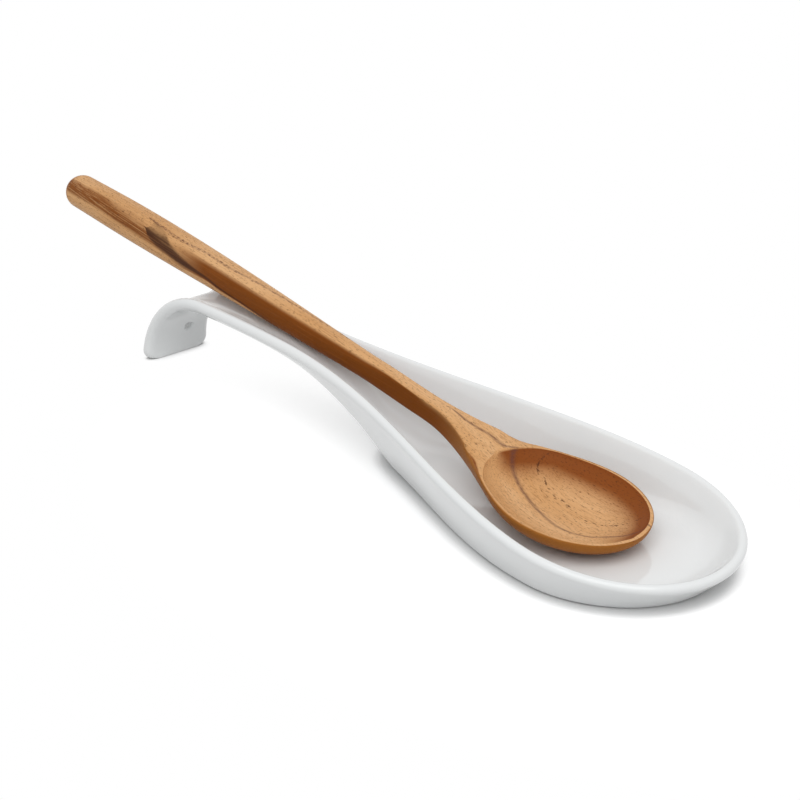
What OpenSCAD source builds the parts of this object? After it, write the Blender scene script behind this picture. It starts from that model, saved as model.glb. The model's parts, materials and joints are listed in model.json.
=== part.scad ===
// Spoon rest of glazed porcelain with its carved wooden spoon.
// Millimetres, +Z up. The origin is on the table under the widest place of the basin.
// +X points to the tip of the basin, and the handle with its foot lies along -X.

/* [Rest outline] */
// Length of the rest from the tip of the basin to the back of the foot
rest_l = 274; // [240:1:320]
// Greatest width of the basin over its rim
basin_w = 81; // [66:1:100]
// From the widest place forward to the tip
nose_l = 46; // [36:0.5:60]
// From the widest place back to where the handle has its own width
taper_l = 149; // [110:1:165]
// Width of the handle over its rims, where the basin has run into it
grip_w = 25.8; // [21:0.2:34]
// Width of the handle at the top of the bend
crest_w = 22.6; // [20:0.2:32]
// Width of the foot where it meets the table
foot_w = 29.6; // [24:0.2:38]
// Radius of the two corners at the bottom of the foot
foot_corner_r = 4.2; // [1:0.1:6]

/* [Rest heights] */
// Height of the rim along the handle, also the radius of the bend down to the foot
rim_h = 31.2; // [26:0.2:38]
// Height of the rim at the tip of the basin
tip_h = 10.3; // [8.5:0.1:14]
// From the bend forward to where the rim has its full height
level_l = 13; // [4:1:30]
// Depth of the trough in the handle below its rim
trough_d = 3.8; // [1.5:0.1:5]
// Depth of the trough where it runs out down the back of the foot
foot_d = 0.9; // [0.6:0.1:3]
// From the widest place back to where the floor starts to climb
climb_from = 86; // [60:1:100]
// From the widest place back to where the floor has reached the handle
climb_to = 174; // [130:1:185]

/* [Rest walls] */
// Thickness of the floor
floor_t = 3.6; // [3:0.1:6]
// Thickness of the side wall, rounded over at the rim
wall_t = 3.5; // [2.4:0.1:5]
// Thickness of the side wall along the handle
grip_wall_t = 4.2; // [3:0.1:6]
// How far the side wall leans out between the table and the rim, at the widest place
flare = 7.5; // [4:0.1:10]
// How far it leans out at the tip
nose_flare = 11; // [6:0.1:14]
// How far it leans out where the basin narrows to the handle
neck_flare = 12; // [8:0.1:15]
// Radius between the side wall and the table
sole_r = 3; // [1:0.1:6]
// Radius between the floor and the side wall
basin_r = 7; // [3:0.1:12]
// Radius between the floor and the wall at the tip
nose_basin_r = 18; // [8:0.5:24]
// Radius of the bottom of the trough, above and below
trough_r = 13; // [8:0.1:20]

/* [Hanging hole] */
// Diameter of the hole in the bend
hang_d = 3.4; // [2.5:0.1:7]
// Turn of the hole round the bend, from upright
hang_turn = 67; // [45:1:75]
// Place of the hole off the middle of the bend
hang_y = 3.7; // [-5:0.1:5]

/* [Spoon] */
// Length of the spoon
spoon_l = 317; // [290:1:360]
// Width of the bowl
bowl_w = 48.4; // [40:0.2:54]
// From the middle of the bowl forward to its tip
bowl_nose_l = 32; // [26:0.5:38]
// From the middle of the bowl back to the neck
shoulder_l = 65; // [54:1:76]
// Height of the bowl from its underside to its rim
bowl_h = 10.4; // [9:0.1:14]
// Depth of the hollow
hollow_d = 7.4; // [5:0.1:10]
// From the middle of the bowl back to the end of the hollow
hollow_back = 29.6; // [24:0.2:36]
// Width of the lip round the hollow
lip_t = 1.4; // [0.8:0.1:3]
// Height of the handle at the neck
neck_d = 9; // [7:0.1:12]
// Width of the handle at the neck
neck_w = 5.8; // [4.6:0.1:10]
// Thickness of the handle at the butt
butt_d = 13.5; // [10:0.1:17]
// Length of the slim stretch behind the shoulder
neck_l = 18; // [10:1:36]
// From the neck back to where the round top of the handle starts to flatten
flat_l = 33; // [15:1:45]
// Length over which it flattens
flat_run = 30; // [15:1:45]
// Length of the end of the handle that has its full thickness
grip_l = 45; // [20:1:70]
// How much the handle droops from the neck to the butt
handle_bow = 6.8; // [0:0.1:8]

/* [Spoon on the rest] */
// From the widest place of the rest back to the middle of the bowl
bowl_back = 17; // [6:0.5:24]
// Middle of the bowl off the middle of the rest
bowl_off = -2; // [-5:0.5:5]
// Handle of the spoon off the middle of the trough at its crest
handle_off = 3.6; // [-5:0.5:5]
// Gap left between the spoon and the glaze where it lies
seat_gap = 0.3; // [0.2:0.05:0.6]

/* [Hidden] */
glaze = [0.93, 0.94, 0.94];
timber = [0.67, 0.42, 0.22];

// The bend is a quarter turn about a line on the table, so the foot ends square on the table.
bend_x = rest_l - nose_l - rim_h;
crest_floor = rim_h - trough_d;
half_w = basin_w / 2;
half_grip = grip_w / 2;
half_crest = crest_w / 2;
half_foot = foot_w / 2;

// Where the lean of the wall and the radii change from the basin's to the handle's.
lean_from = taper_l / 12;
lean_to = taper_l * 2 / 3;
sole_from = taper_l / 4;
sole_to = taper_l * 5 / 6;
basin_from = taper_l * 2 / 5;
waist_from = taper_l * 4 / 5;
neck_sole_r = trough_r * 4 / 5;

// Most that the lean takes of the half width, and a fillet of its level line and of its wall.
lean_share = 0.7;
level_share = 0.96;
wall_share = 0.9;

// Powers that shape the climb of the floor, the sweep of the rim, the outline and the foot.
climb_start = 1.5;
climb_end = 2.9;
rim_sweep = 1.05;
taper_bias = 0.88;
foot_spread = 0.9;

// Turn of the bend at which the trough has its depth in the foot.
run_out = 32;

// Steps of the rest's surface.
nose_steps = 26;
back_steps = 38;
bend_steps = 12;
corner_steps = 4;
fillet_steps = 5;
rim_steps = 7;

function ease(q) = q <= 0 ? 0 : q >= 1 ? 1 : q * q * (3 - 2 * q);

function mix(a, b, q) = a + (b - a) * q;

function flip(list) = [for (i = [len(list) - 1 : -1 : 0]) list[i]];

// Height of the floor on the middle plane, and of the sole under it.
function climb(q) = q <= 0 ? 0 : q >= 1 ? 1 : 1 - pow(1 - pow(q, climb_start), climb_end);

function floor_z(x) = mix(floor_t, crest_floor, climb((-climb_from - x) / (climb_to - climb_from)));

function floor_slope(x) = floor_z(x - 0.5) - floor_z(x + 0.5);

function sole_z(x) = max(0, floor_z(x) - floor_t * sqrt(1 + pow(floor_slope(x), 2)));

// Height of the rim, which rises in one sweep from the tip to the bend.
function rim_z(x) =
    let (q = min(1, (nose_l - x) / (nose_l + bend_x - level_l)))
    mix(tip_h, rim_h, pow(sin(90 * q), rim_sweep));

// Half width over the rim, behind the widest place.
function half_at(x) =
    let (q = min(1, pow(-x / taper_l, taper_bias)))
    let (waist = ease((-waist_from - x) / (bend_x - waist_from)))
    mix(mix(half_grip, half_w, (1 + cos(180 * q)) / 2), half_crest, waist);

// How far the wall leans out, behind the widest place and round the nose.
function flare_at(x) =
    let (q = ease((-lean_from - x) / (lean_to - lean_from)))
    min(mix(flare, neck_flare, q), half_at(x) * lean_share);

function nose_flare_at(t) = mix(flare, nose_flare, pow(cos(t), 2));

function nose_basin_r_at(t) = mix(basin_r, nose_basin_r, pow(cos(t), 2));

function sole_r_at(x) = mix(sole_r, neck_sole_r, ease((-sole_from - x) / (sole_to - sole_from)));

function basin_r_at(x) = mix(basin_r, trough_r, ease((-basin_from - x) / (taper_l - basin_from)));

// Radius of the rim, half the thickness of the wall.
function rim_r_at(x) = mix(wall_t, grip_wall_t, ease((-basin_from - x) / (taper_l - basin_from))) / 2;

// A round corner between a level line and a wall, as points from the level line to the wall.
function corner(b, z, reach, lean) =
    let (r = reach / tan(lean / 2))
    [for (k = [0 : fillet_steps])
        let (t = lean * k / fillet_steps)
        [b - reach + r * sin(t), z + r * (1 - cos(t))]];

// Where the inner wall would meet the floor, how far the fillet reaches, and the wall's lean.
function inner_fit(w, h, zb, zf, out, rim, ri) =
    let (lean = atan2(h - zb, out))
    let (top = [w - rim - rim * sin(lean), h - rim + rim * cos(lean)])
    let (b = top[0] - (top[1] - zf) / tan(lean))
    [b, min(ri * tan(lean / 2), b * level_share, (top[1] - zf) / sin(lean) * wall_share), lean];

// Half a cross-section: from the middle of the sole, out round the rim, to the middle of the floor.
function half_section(w, h, zb, zf, out, rim, ro, ri) =
    let (inner = inner_fit(w, h, zb, zf, out, rim, ri))
    let (lean = inner[2])
    let (low = [w - rim + rim * sin(lean), h - rim - rim * cos(lean)])
    let (b = low[0] - (low[1] - zb) / tan(lean))
    let (reach = min(ro * tan(lean / 2), b * level_share, (low[1] - zb) / sin(lean) * wall_share))
    concat(
        [[0, zb]],
        corner(b, zb, reach, lean),
        [for (k = [0 : rim_steps])
            let (t = lean - 90 + 180 * k / rim_steps)
            [w - rim + rim * cos(t), h - rim + rim * sin(t)]],
        flip(corner(inner[0], zf, inner[1], lean)),
        [[0, zf]]);

// Stations along the handle and basin, from the foot to the widest place.
corner_turn = foot_corner_r / rim_h * 180 / PI;

turns = concat(
    [for (k = [0 : corner_steps]) 90 - corner_turn * (1 - cos(90 * k / corner_steps))],
    [for (k = [1 : bend_steps]) (90 - corner_turn) * (1 - k / bend_steps)]);

function foot_half(turn) =
    let (d = (90 - turn) / 180 * PI * rim_h)
    let (cut = foot_corner_r - sqrt(pow(foot_corner_r, 2) - pow(max(0, foot_corner_r - d), 2)))
    mix(half_crest, half_foot, pow(turn / 90, foot_spread)) - cut;

bend_flare = flare_at(-bend_x);

function bend_floor(turn) = rim_h - mix(trough_d, foot_d, ease(turn / run_out));

bend_sections = [for (t = turns)
    let (zf = bend_floor(t))
    half_section(foot_half(t), rim_h, zf - floor_t, zf, bend_flare, grip_wall_t / 2, neck_sole_r, trough_r)];

back_xs = [for (k = [1 : back_steps]) -bend_x * (1 - k / back_steps)];

back_sections = [for (x = back_xs)
    half_section(half_at(x), rim_z(x), sole_z(x), floor_z(x),
        flare_at(x), rim_r_at(x), sole_r_at(x), basin_r_at(x))];

// Stations round the nose, as half sections that turn about the widest place.
nose_turns = [for (k = [1 : nose_steps - 1]) 90 - 180 * k / nose_steps];

function nose_r(t) = 1 / sqrt(pow(cos(t) / nose_l, 2) + pow(sin(t) / half_w, 2));

nose_sections = [for (t = nose_turns)
    half_section(nose_r(t), rim_z(nose_r(t) * cos(t)), 0, floor_t,
        nose_flare_at(t), wall_t / 2, sole_r, nose_basin_r_at(t))];

// Points of one station, on the side that side gives as 1 or -1.
function bend_points(i, side) = [for (p = bend_sections[i])
    [-bend_x - p[1] * sin(turns[i]), side * p[0], p[1] * cos(turns[i])]];

function back_points(i, side) = [for (p = back_sections[i]) [back_xs[i], side * p[0], p[1]]];

function nose_points(i) = [for (p = nose_sections[i])
    [p[0] * cos(nose_turns[i]), p[0] * sin(nose_turns[i]), p[1]]];

rear_n = len(turns) + back_steps;
rest_n = 2 * rear_n + nose_steps - 1;
ring_n = len(bend_sections[0]);

function rear_points(i, side) =
    i < len(turns) ? bend_points(i, side) : back_points(i - len(turns), side);

rest_stations = concat(
    [for (i = [0 : rear_n - 1]) rear_points(i, 1)],
    [for (i = [0 : nose_steps - 2]) nose_points(i)],
    [for (i = [rear_n - 1 : -1 : 0]) rear_points(i, -1)]);

// The two halves share the points on the middle plane, and the nose shares the last of them.
function mid(i) = i < rear_n ? i : i >= rear_n + nose_steps - 1 ? rest_n - 1 - i : rear_n - 1;

rest_points = concat(
    [for (s = rest_stations) for (j = [1 : ring_n - 2]) s[j]],
    [for (i = [0 : rear_n - 1]) rest_stations[i][0]],
    [for (i = [0 : rear_n - 1]) rest_stations[i][ring_n - 1]]);

function at(i, j) =
    j == 0 ? rest_n * (ring_n - 2) + mid(i)
    : j == ring_n - 1 ? rest_n * (ring_n - 2) + rear_n + mid(i)
    : i * (ring_n - 2) + j - 1;

function pair(a, b, c, d) = concat(a == b ? [] : [[a, b, c]], c == d ? [] : [[a, c, d]]);

rest_faces = concat(
    [for (i = [0 : rest_n - 2]) for (j = [0 : ring_n - 2])
        for (f = pair(at(i, j), at(i + 1, j), at(i + 1, j + 1), at(i, j + 1))) f],
    [for (j = [0 : ring_n / 2 - 2])
        for (f = pair(at(0, j), at(0, j + 1), at(0, ring_n - 2 - j), at(0, ring_n - 1 - j))) f],
    [for (j = [0 : ring_n / 2 - 2])
        for (f = pair(at(rest_n - 1, j + 1), at(rest_n - 1, j),
            at(rest_n - 1, ring_n - 1 - j), at(rest_n - 1, ring_n - 2 - j))) f]);

module hang_hole() {
    over = floor_t / 2;
    translate([-bend_x, hang_y, 0])
        rotate([0, -hang_turn, 0])
            translate([0, 0, bend_floor(hang_turn) - floor_t - over])
                cylinder(d = hang_d, h = floor_t + 2 * over, $fn = 48);
}

module rest() {
    color(glaze)
        difference() {
            polyhedron(points = rest_points, faces = rest_faces, convexity = 8);
            hang_hole();
        }
}

// Spoon in its own frame: U along the spoon from the middle of the bowl to the tip, V across, W up.
neck_r = neck_d / 2;
neck_half = neck_w / 2;
butt_r = butt_d / 2;
butt_u = bowl_nose_l - spoon_l;
bowl_half_w = bowl_w / 2;
hollow_front = bowl_nose_l - lip_t;
hollow_mid = (hollow_front - hollow_back) / 2;
hollow_r = (hollow_front + hollow_back) / 2;
hollow_half_w = bowl_half_w - lip_t;
wide_u = bowl_nose_l / 10;
grip_from = -shoulder_l - neck_l;
grip_to = butt_u + grip_l;

// Where the neck's raised top and square sides start and end their turn to the bowl's section.
turn_from = shoulder_l * 9 / 10;
turn_to = bowl_nose_l / 2;

// How far the top line runs on behind the hollow.
peak_run = shoulder_l / 8;
peak_from = -hollow_back - peak_run;
peak_half = lip_t / 2;

// Most that the top takes of the half width.
top_share = 0.94;

// Powers and shares that shape the handle, the neck's top, the shoulder, the bowl and the hollow.
butt_full = 2;
grip_full = 2.5;
neck_full = 8;
neck_drop = 0.21;
side_full = 6;
shoulder_bias = 0.93;
shoulder_dip = 1.13;
keel_bias = 1.53;
keel_nose = 0.45;
bowl_full = 0.92;
hollow_full = 0.7;
hollow_egg = 0.06;

// Half width of the bowl and shoulder in plan.
function nose_share(u) = max(0, 1 - pow((u - wide_u) / (bowl_nose_l - wide_u), 2));

function back_share(u, bias) = (1 + cos(180 * min(1, pow((wide_u - u) / (shoulder_l + wide_u), bias)))) / 2;

function bowl_half(u) =
    u >= wide_u ? bowl_half_w * sqrt(nose_share(u))
    : mix(neck_half, bowl_half_w, pow(back_share(u, shoulder_bias), shoulder_dip));

// Half width and half height of the handle, with the butt rounded over.
function grip_share(u) = min(1, max(0, (grip_from - u) / (grip_from - grip_to)));

function grip_half(u) = mix(neck_half, butt_r, sin(90 * grip_share(u))) * butt_round(u);

function grip_r(u) = mix(neck_r, butt_r, ease(grip_share(u))) * butt_round(u);

function butt_round(u) =
    let (d = u - butt_u)
    d >= butt_r ? 1 : sqrt(max(0, 1 - pow(1 - d / butt_r, 2)));

function spoon_half(u) = u > -shoulder_l ? bowl_half(u) : grip_half(u);

// How far the section has turned from the handle's to the bowl's, and how flat its top is, 0 to 1.
function bowl_share(u) = ease((u + turn_from) / (turn_from - turn_to));

function flat_share(u) = ease((u + shoulder_l + flat_l) / flat_run);

// How square the handle's section is, round at the butt.
function grip_full_at(u) = mix(butt_full, grip_full, ease((u - butt_u) / grip_l));

// Level of the widest line of the section, crown above it and keel below it.
function mid_w(u) = -handle_bow * pow(max(0, (-shoulder_l - u) / (spoon_l - shoulder_l)), 2);

function crown(u) = (1 - bowl_share(u)) * (1 - neck_drop * flat_share(u)) * grip_r(u);

function keel(u) =
    u <= -shoulder_l ? grip_r(u)
    : u >= wide_u ? bowl_h * pow(nose_share(u), keel_nose)
    : mix(neck_r, bowl_h, back_share(u, keel_bias));

// The hollow: half width, depth on the middle line.
function hollow_share(u) = max(0, 1 - pow((u - hollow_mid) / hollow_r, 2));

function hollow_half(u) =
    max(peak_half, hollow_half_w * sqrt(hollow_share(u)) * (1 + hollow_egg * (u - hollow_mid) / hollow_r));

function hollow_w(u) = hollow_d * pow(hollow_share(u), hollow_full);

// Steps of the spoon.
keel_steps = 16;
top_steps = 18;
butt_steps = 7;
grip_steps = 14;
neck_steps = 10;
hollow_steps = 26;
tip_steps = 4;
seat_steps = 36;
settle_steps = 16;

spoon_us = concat(
    [for (k = [1 : butt_steps]) butt_u + butt_r * (1 - cos(90 * k / butt_steps))],
    [for (k = [1 : grip_steps]) mix(butt_u + butt_r, -shoulder_l, k / grip_steps)],
    [for (k = [1 : neck_steps]) mix(-shoulder_l, -hollow_back, k / neck_steps)],
    [for (k = [1 : hollow_steps]) hollow_mid - hollow_r * cos(180 * k / hollow_steps)],
    [for (k = [1 : tip_steps]) mix(hollow_front, bowl_nose_l, sin(88 * k / tip_steps))]);

// Half width of the top inside the lip.
function inset(u) =
    u < peak_from ? spoon_half(u) * top_share
    : u < -hollow_back ? mix(spoon_half(peak_from) * top_share, peak_half, (u - peak_from) / peak_run)
    : min(hollow_half(u), spoon_half(u) * top_share);

function top_point(u, v) =
    let (b = spoon_half(u))
    let (h = inset(u))
    let (n = mix(grip_full_at(u), neck_full, flat_share(u)))
    let (dip = hollow_w(u) * pow(max(0, 1 - pow(v / h, 2)), hollow_full))
    [u, v, mid_w(u) + crown(u) * pow(max(0, 1 - pow(abs(v) / b, n)), 1 / n) - dip];

function keel_point(u, t) =
    let (side = 2 / mix(grip_full_at(u), side_full, flat_share(u)))
    let (across = mix(side, 1, bowl_share(u)))
    let (down = mix(side, bowl_full, bowl_share(u)))
    [u, spoon_half(u) * sign(cos(t)) * pow(abs(cos(t)), across), mid_w(u) - keel(u) * pow(abs(sin(t)), down)];

function spoon_ring(u) = concat(
    [for (k = [0 : keel_steps]) keel_point(u, 180 + 180 * k / keel_steps)],
    [for (k = [0 : top_steps]) top_point(u, inset(u) * cos(180 * k / top_steps))]);

loop_n = keel_steps + top_steps + 2;
loops_n = len(spoon_us);

// Where the spoon lies: its bowl on the floor and its handle in the trough, both with the seat gap.
spoon_yaw = -asin((handle_off - bowl_off) / (bend_x - bowl_back));

function under_w(u) = mid_w(u) - keel(u);

function lift_at(pitch) = floor_t + seat_gap
    - min([for (k = [0 : seat_steps])
        let (u = mix(-shoulder_l, bowl_nose_l, k / seat_steps))
        under_w(u) * cos(pitch) - u * sin(pitch)]);

function place(p, pitch, lift) =
    let (a = p[0] * cos(pitch) + p[2] * sin(pitch))
    [a * cos(spoon_yaw) - p[1] * sin(spoon_yaw) - bowl_back,
        a * sin(spoon_yaw) + p[1] * cos(spoon_yaw) + bowl_off,
        lift - p[0] * sin(pitch) + p[2] * cos(pitch)];

// Height of the glaze over a point of the handle or basin floor.
function glaze_z(x, y) =
    let (zf = floor_z(x))
    let (back = min(0, x))
    let (f = inner_fit(half_at(back), rim_z(x), sole_z(x), zf, flare_at(back), rim_r_at(x), basin_r_at(x)))
    let (d = abs(y) - f[0] + f[1])
    let (r = f[1] / tan(f[2] / 2))
    d <= 0 ? zf
    : d <= r * sin(f[2]) ? zf + r - sqrt(r * r - d * d)
    : zf + (abs(y) - f[0]) * tan(f[2]);

function handle_gap(pitch) =
    let (lift = lift_at(pitch))
    min([for (k = [0 : seat_steps]) for (t = [210 : 10 : 330])
        let (p = place(keel_point(mix(-bend_x, -climb_from, k / seat_steps), t), pitch, lift))
        p[2] - glaze_z(max(p[0], -bend_x), p[1])]);

function settle(low, high, n) =
    let (m = (low + high) / 2)
    n == 0 ? m
    : handle_gap(m) > seat_gap ? settle(low, m, n - 1)
    : settle(m, high, n - 1);

spoon_pitch = settle(0, 16, settle_steps);
spoon_lift = lift_at(spoon_pitch);

spoon_local = concat([for (u = spoon_us) each spoon_ring(u)],
    [[butt_u, 0, mid_w(butt_u)], [bowl_nose_l, 0, 0]]);

spoon_points = [for (p = spoon_local) place(p, spoon_pitch, spoon_lift)];

function on(i, k) = i * loop_n + k % loop_n;

spoon_faces = concat(
    [for (i = [0 : loops_n - 2]) for (k = [0 : loop_n - 1])
        for (f = pair(on(i, k), on(i + 1, k), on(i + 1, k + 1), on(i, k + 1))) f],
    [for (k = [0 : loop_n - 1]) [loops_n * loop_n, on(0, k), on(0, k + 1)]],
    [for (k = [0 : loop_n - 1]) [loops_n * loop_n + 1, on(loops_n - 1, k + 1), on(loops_n - 1, k)]]);

module spoon() {
    color(timber)
        polyhedron(points = spoon_points, faces = spoon_faces, convexity = 6);
}

rest();
spoon();
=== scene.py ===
"""Glazed porcelain spoon rest with its carved wooden spoon, dressed for a plain studio picture.

Metres, +Z up. The origin is on the table under the widest place of the basin, +X points to the tip of
the basin, and the handle with its foot lies along -X.
"""

import json
import logging
import math
from dataclasses import dataclass, fields
from enum import Enum
from typing import Callable, Optional, Union

import bmesh
import bpy
import numpy as np
from mathutils import Euler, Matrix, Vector


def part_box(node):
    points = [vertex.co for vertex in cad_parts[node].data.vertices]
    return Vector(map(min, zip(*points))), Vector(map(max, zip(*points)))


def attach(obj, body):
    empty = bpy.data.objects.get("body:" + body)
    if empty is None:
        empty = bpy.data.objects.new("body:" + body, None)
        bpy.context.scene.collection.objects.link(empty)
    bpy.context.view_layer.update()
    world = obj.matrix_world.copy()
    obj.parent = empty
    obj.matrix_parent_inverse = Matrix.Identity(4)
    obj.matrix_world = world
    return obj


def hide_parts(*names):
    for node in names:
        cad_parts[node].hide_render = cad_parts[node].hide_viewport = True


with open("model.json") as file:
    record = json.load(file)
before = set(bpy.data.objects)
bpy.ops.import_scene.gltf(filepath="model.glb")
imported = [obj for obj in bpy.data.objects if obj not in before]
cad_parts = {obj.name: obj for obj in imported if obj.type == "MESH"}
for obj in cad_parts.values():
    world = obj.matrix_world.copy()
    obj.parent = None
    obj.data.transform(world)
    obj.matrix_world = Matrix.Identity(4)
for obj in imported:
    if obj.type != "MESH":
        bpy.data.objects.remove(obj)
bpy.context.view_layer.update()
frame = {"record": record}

log = logging.getLogger("spoon_rest")

MM = 0.001
TINY = 0.001 * MM
QUARTER = math.pi / 2
ROUNDING = 1
MIDDLE = 0.5
EDGE = "edge"

Value = Union[float, np.ndarray, "Field"]
Triple = tuple[float, float, float]
Knots = tuple[tuple[float, ...], ...]

WHITE: Triple = (1.0, 1.0, 1.0)


class Piece(str, Enum):
    """The two pieces, by the names of their bodies and nodes."""

    REST = "rest"
    SPOON = "spoon"


class Slot(str, Enum):
    """The record's material slots."""

    PORCELAIN = "porcelain"
    WOOD = "wood"


class Socket(str, Enum):
    """Kinds of a node group's sockets."""

    NUMBER = "NodeSocketFloat"
    COUNT = "NodeSocketInt"
    VECTOR = "NodeSocketVector"
    GEOMETRY = "NodeSocketGeometry"
    MATERIAL = "NodeSocketMaterial"


class Face(float, Enum):
    """A face of the rest's wall, by the side of the rim that it is on."""

    OUTER = 1.0
    INNER = -1.0


def math_step(operation: str, plain: Callable[..., Value], swapped: bool = False) -> Callable[..., Value]:
    """A function of plain numbers, arrays and Fields.

    Args:
        operation: the Math node that it adds where a value is a Field.
        plain: what it does at once where none is.
        swapped: whether it takes its values the other way round.

    Returns:
        The function.
    """
    def work_out(*values: Value) -> Value:
        """Works out plain values at once, or adds the Math node."""
        ordered = values[::-1] if swapped else values
        live = [value for value in ordered if isinstance(value, Field)]
        if not live:
            return plain(*ordered)
        node = live[0].tree.nodes.new("ShaderNodeMath")
        node.operation = operation
        for value, socket in zip(ordered, node.inputs):
            join(value if isinstance(value, Field) else float(value), socket)
        return Field(node.outputs[0])

    return work_out


class Field:
    """A value that a node tree works out, with plain arithmetic that adds Math nodes to the tree."""

    def __init__(self, socket: bpy.types.NodeSocket) -> None:
        """Holds an output socket."""
        self.socket = socket
        self.tree: bpy.types.NodeTree = socket.id_data

    __add__ = math_step("ADD", np.add)
    __radd__ = math_step("ADD", np.add, swapped=True)
    __sub__ = math_step("SUBTRACT", np.subtract)
    __rsub__ = math_step("SUBTRACT", np.subtract, swapped=True)
    __mul__ = math_step("MULTIPLY", np.multiply)
    __rmul__ = math_step("MULTIPLY", np.multiply, swapped=True)
    __truediv__ = math_step("DIVIDE", np.divide)
    __rtruediv__ = math_step("DIVIDE", np.divide, swapped=True)

    def __neg__(self) -> "Field":
        """The value with its sign changed."""
        return self * -1.0


power = math_step("POWER", np.power)
root = math_step("SQRT", np.sqrt)
cosine = math_step("COSINE", np.cos)
sine = math_step("SINE", np.sin)
least = math_step("MINIMUM", np.minimum)
most = math_step("MAXIMUM", np.maximum)
size_of = math_step("ABSOLUTE", np.abs)
sign_of = math_step("SIGN", np.sign)
above = math_step("GREATER_THAN", lambda a, b: np.where(np.greater(a, b), 1.0, 0.0))


def join(value: object, socket: bpy.types.NodeSocket) -> None:
    """Feeds an input socket.

    Args:
        value: a Field to link, or a plain value to set.
        socket: the input socket.
    """
    if isinstance(value, Field):
        socket.id_data.links.new(value.socket, socket)
    else:
        socket.default_value = value


def square(value: Value) -> Value:
    """A value times itself."""
    return value * value


def mix(a: Value, b: Value, share: Value) -> Value:
    """The value a share of the way from a to b."""
    return a + (b - a) * share


def choose(test: Value, yes: Value, no: Value) -> Value:
    """One value where a test is 1, and another where it is 0."""
    return mix(no, yes, test)


def unit(value: Value) -> Value:
    """A value kept from 0 to 1."""
    return most(least(value, 1.0), 0.0)


def ease(value: Value) -> Value:
    """A smooth step from 0 to 1."""
    q = unit(value)
    return q * q * (3.0 - 2.0 * q)


def span(value: Value, start: float, end: float) -> Value:
    """A smooth step from 0 at start to 1 at end."""
    return ease((value - start) / (end - start))


class Bench:
    """Adds nodes to one tree."""

    def __init__(self, tree: bpy.types.NodeTree) -> None:
        """Holds the tree, emptied."""
        self.tree = tree
        tree.nodes.clear()

    def node(self, kind: str, inputs: Optional[dict] = None, **settings: object) -> bpy.types.Node:
        """Adds a node.

        Args:
            kind: the node's type.
            inputs: values or Fields by the name or number of the input.
            **settings: the node's own properties.

        Returns:
            The node.
        """
        node = self.tree.nodes.new(kind)
        for name, value in settings.items():
            setattr(node, name, value)
        for key, value in (inputs or {}).items():
            join(value, node.inputs[key])
        return node

    def get(self, kind: str, inputs: Optional[dict] = None, out: Union[int, str] = 0,
            **settings: object) -> Field:
        """Adds a node as node() does, and returns one of its outputs."""
        return Field(self.node(kind, inputs, **settings).outputs[out])

    def parts(self, vector: Field) -> list[Field]:
        """The three parts of a vector."""
        node = self.node("ShaderNodeSeparateXYZ", {0: vector})
        return [Field(output) for output in node.outputs]

    def vector(self, x: Value, y: Value, z: Value) -> Field:
        """A vector from its three parts."""
        return self.get("ShaderNodeCombineXYZ", {0: x, 1: y, 2: z})

    def place(self, seat: Triple = (0.0, 0.0, 0.0), turn: Triple = (0.0, 0.0, 0.0)) -> Field:
        """Where a shaded point lies on its piece, in millimetres.

        Args:
            seat: origin of the axes that it is measured along, in metres.
            turn: how those axes are turned.

        Returns:
            The place.
        """
        where = self.get("ShaderNodeTexCoord", out="Object")
        return self.get("ShaderNodeMapping", {
            "Vector": where, "Location": seat, "Rotation": turn, "Scale": (MM, MM, MM),
        }, vector_type="TEXTURE")

    def tint(self, share: Value, a: object, b: object) -> Field:
        """Mixes two colours.

        Args:
            share: how far to go from a to b.
            a: a colour or a Field.
            b: a colour or a Field.

        Returns:
            The colour.
        """
        node = self.node("ShaderNodeMix", data_type="RGBA")
        for name, value in (("Factor_Float", share), ("A_Color", a), ("B_Color", b)):
            socket = next(s for s in node.inputs if s.identifier == name)
            join(rgba(value) if isinstance(value, tuple) else value, socket)
        return Field(next(s for s in node.outputs if s.identifier == "Result_Color"))

    def finish_mesh(self, mesh: Field, material: Field, name: str) -> None:
        """Ends a Geometry Nodes tree: smooth shading, real instances, the material and the output.

        Args:
            mesh: the mesh.
            material: its material.
            name: name of the output.
        """
        smooth = self.get("GeometryNodeSetShadeSmooth", {"Geometry": mesh})
        real = self.get("GeometryNodeRealizeInstances", {"Geometry": smooth})
        dressed = self.get("GeometryNodeSetMaterial", {"Geometry": real, "Material": material})
        self.node("NodeGroupOutput", {name: dressed})


def rgba(colour: Triple) -> tuple[float, float, float, float]:
    """A colour with a full alpha."""
    return (*colour, 1.0)


def input_sockets(tree: bpy.types.NodeTree, inputs: dict[str, Socket],
                  outputs: dict[str, Socket]) -> dict[str, Field]:
    """Gives a group its sockets.

    Args:
        tree: the group.
        inputs: kinds of its inputs by name.
        outputs: kinds of its outputs by name.

    Returns:
        The inputs as Fields, by name.
    """
    for way, sockets in (("INPUT", inputs), ("OUTPUT", outputs)):
        for name, kind in sockets.items():
            tree.interface.new_socket(name, in_out=way, socket_type=kind.value)
    group_input = tree.nodes.new("NodeGroupInput")
    return {name: Field(group_input.outputs[name]) for name in inputs}


def make_mesh(name: str, points: list, faces: list) -> bpy.types.Object:
    """An object in the scene, at the origin, from points and faces.

    Args:
        name: the object's name.
        points: places of the vertices.
        faces: numbers of the vertices of each face.

    Returns:
        The object.
    """
    mesh = bpy.data.meshes.new(name)
    mesh.from_pydata(points, [], faces)
    made = bpy.data.objects.new(name, mesh)
    bpy.context.scene.collection.objects.link(made)
    return made


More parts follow.
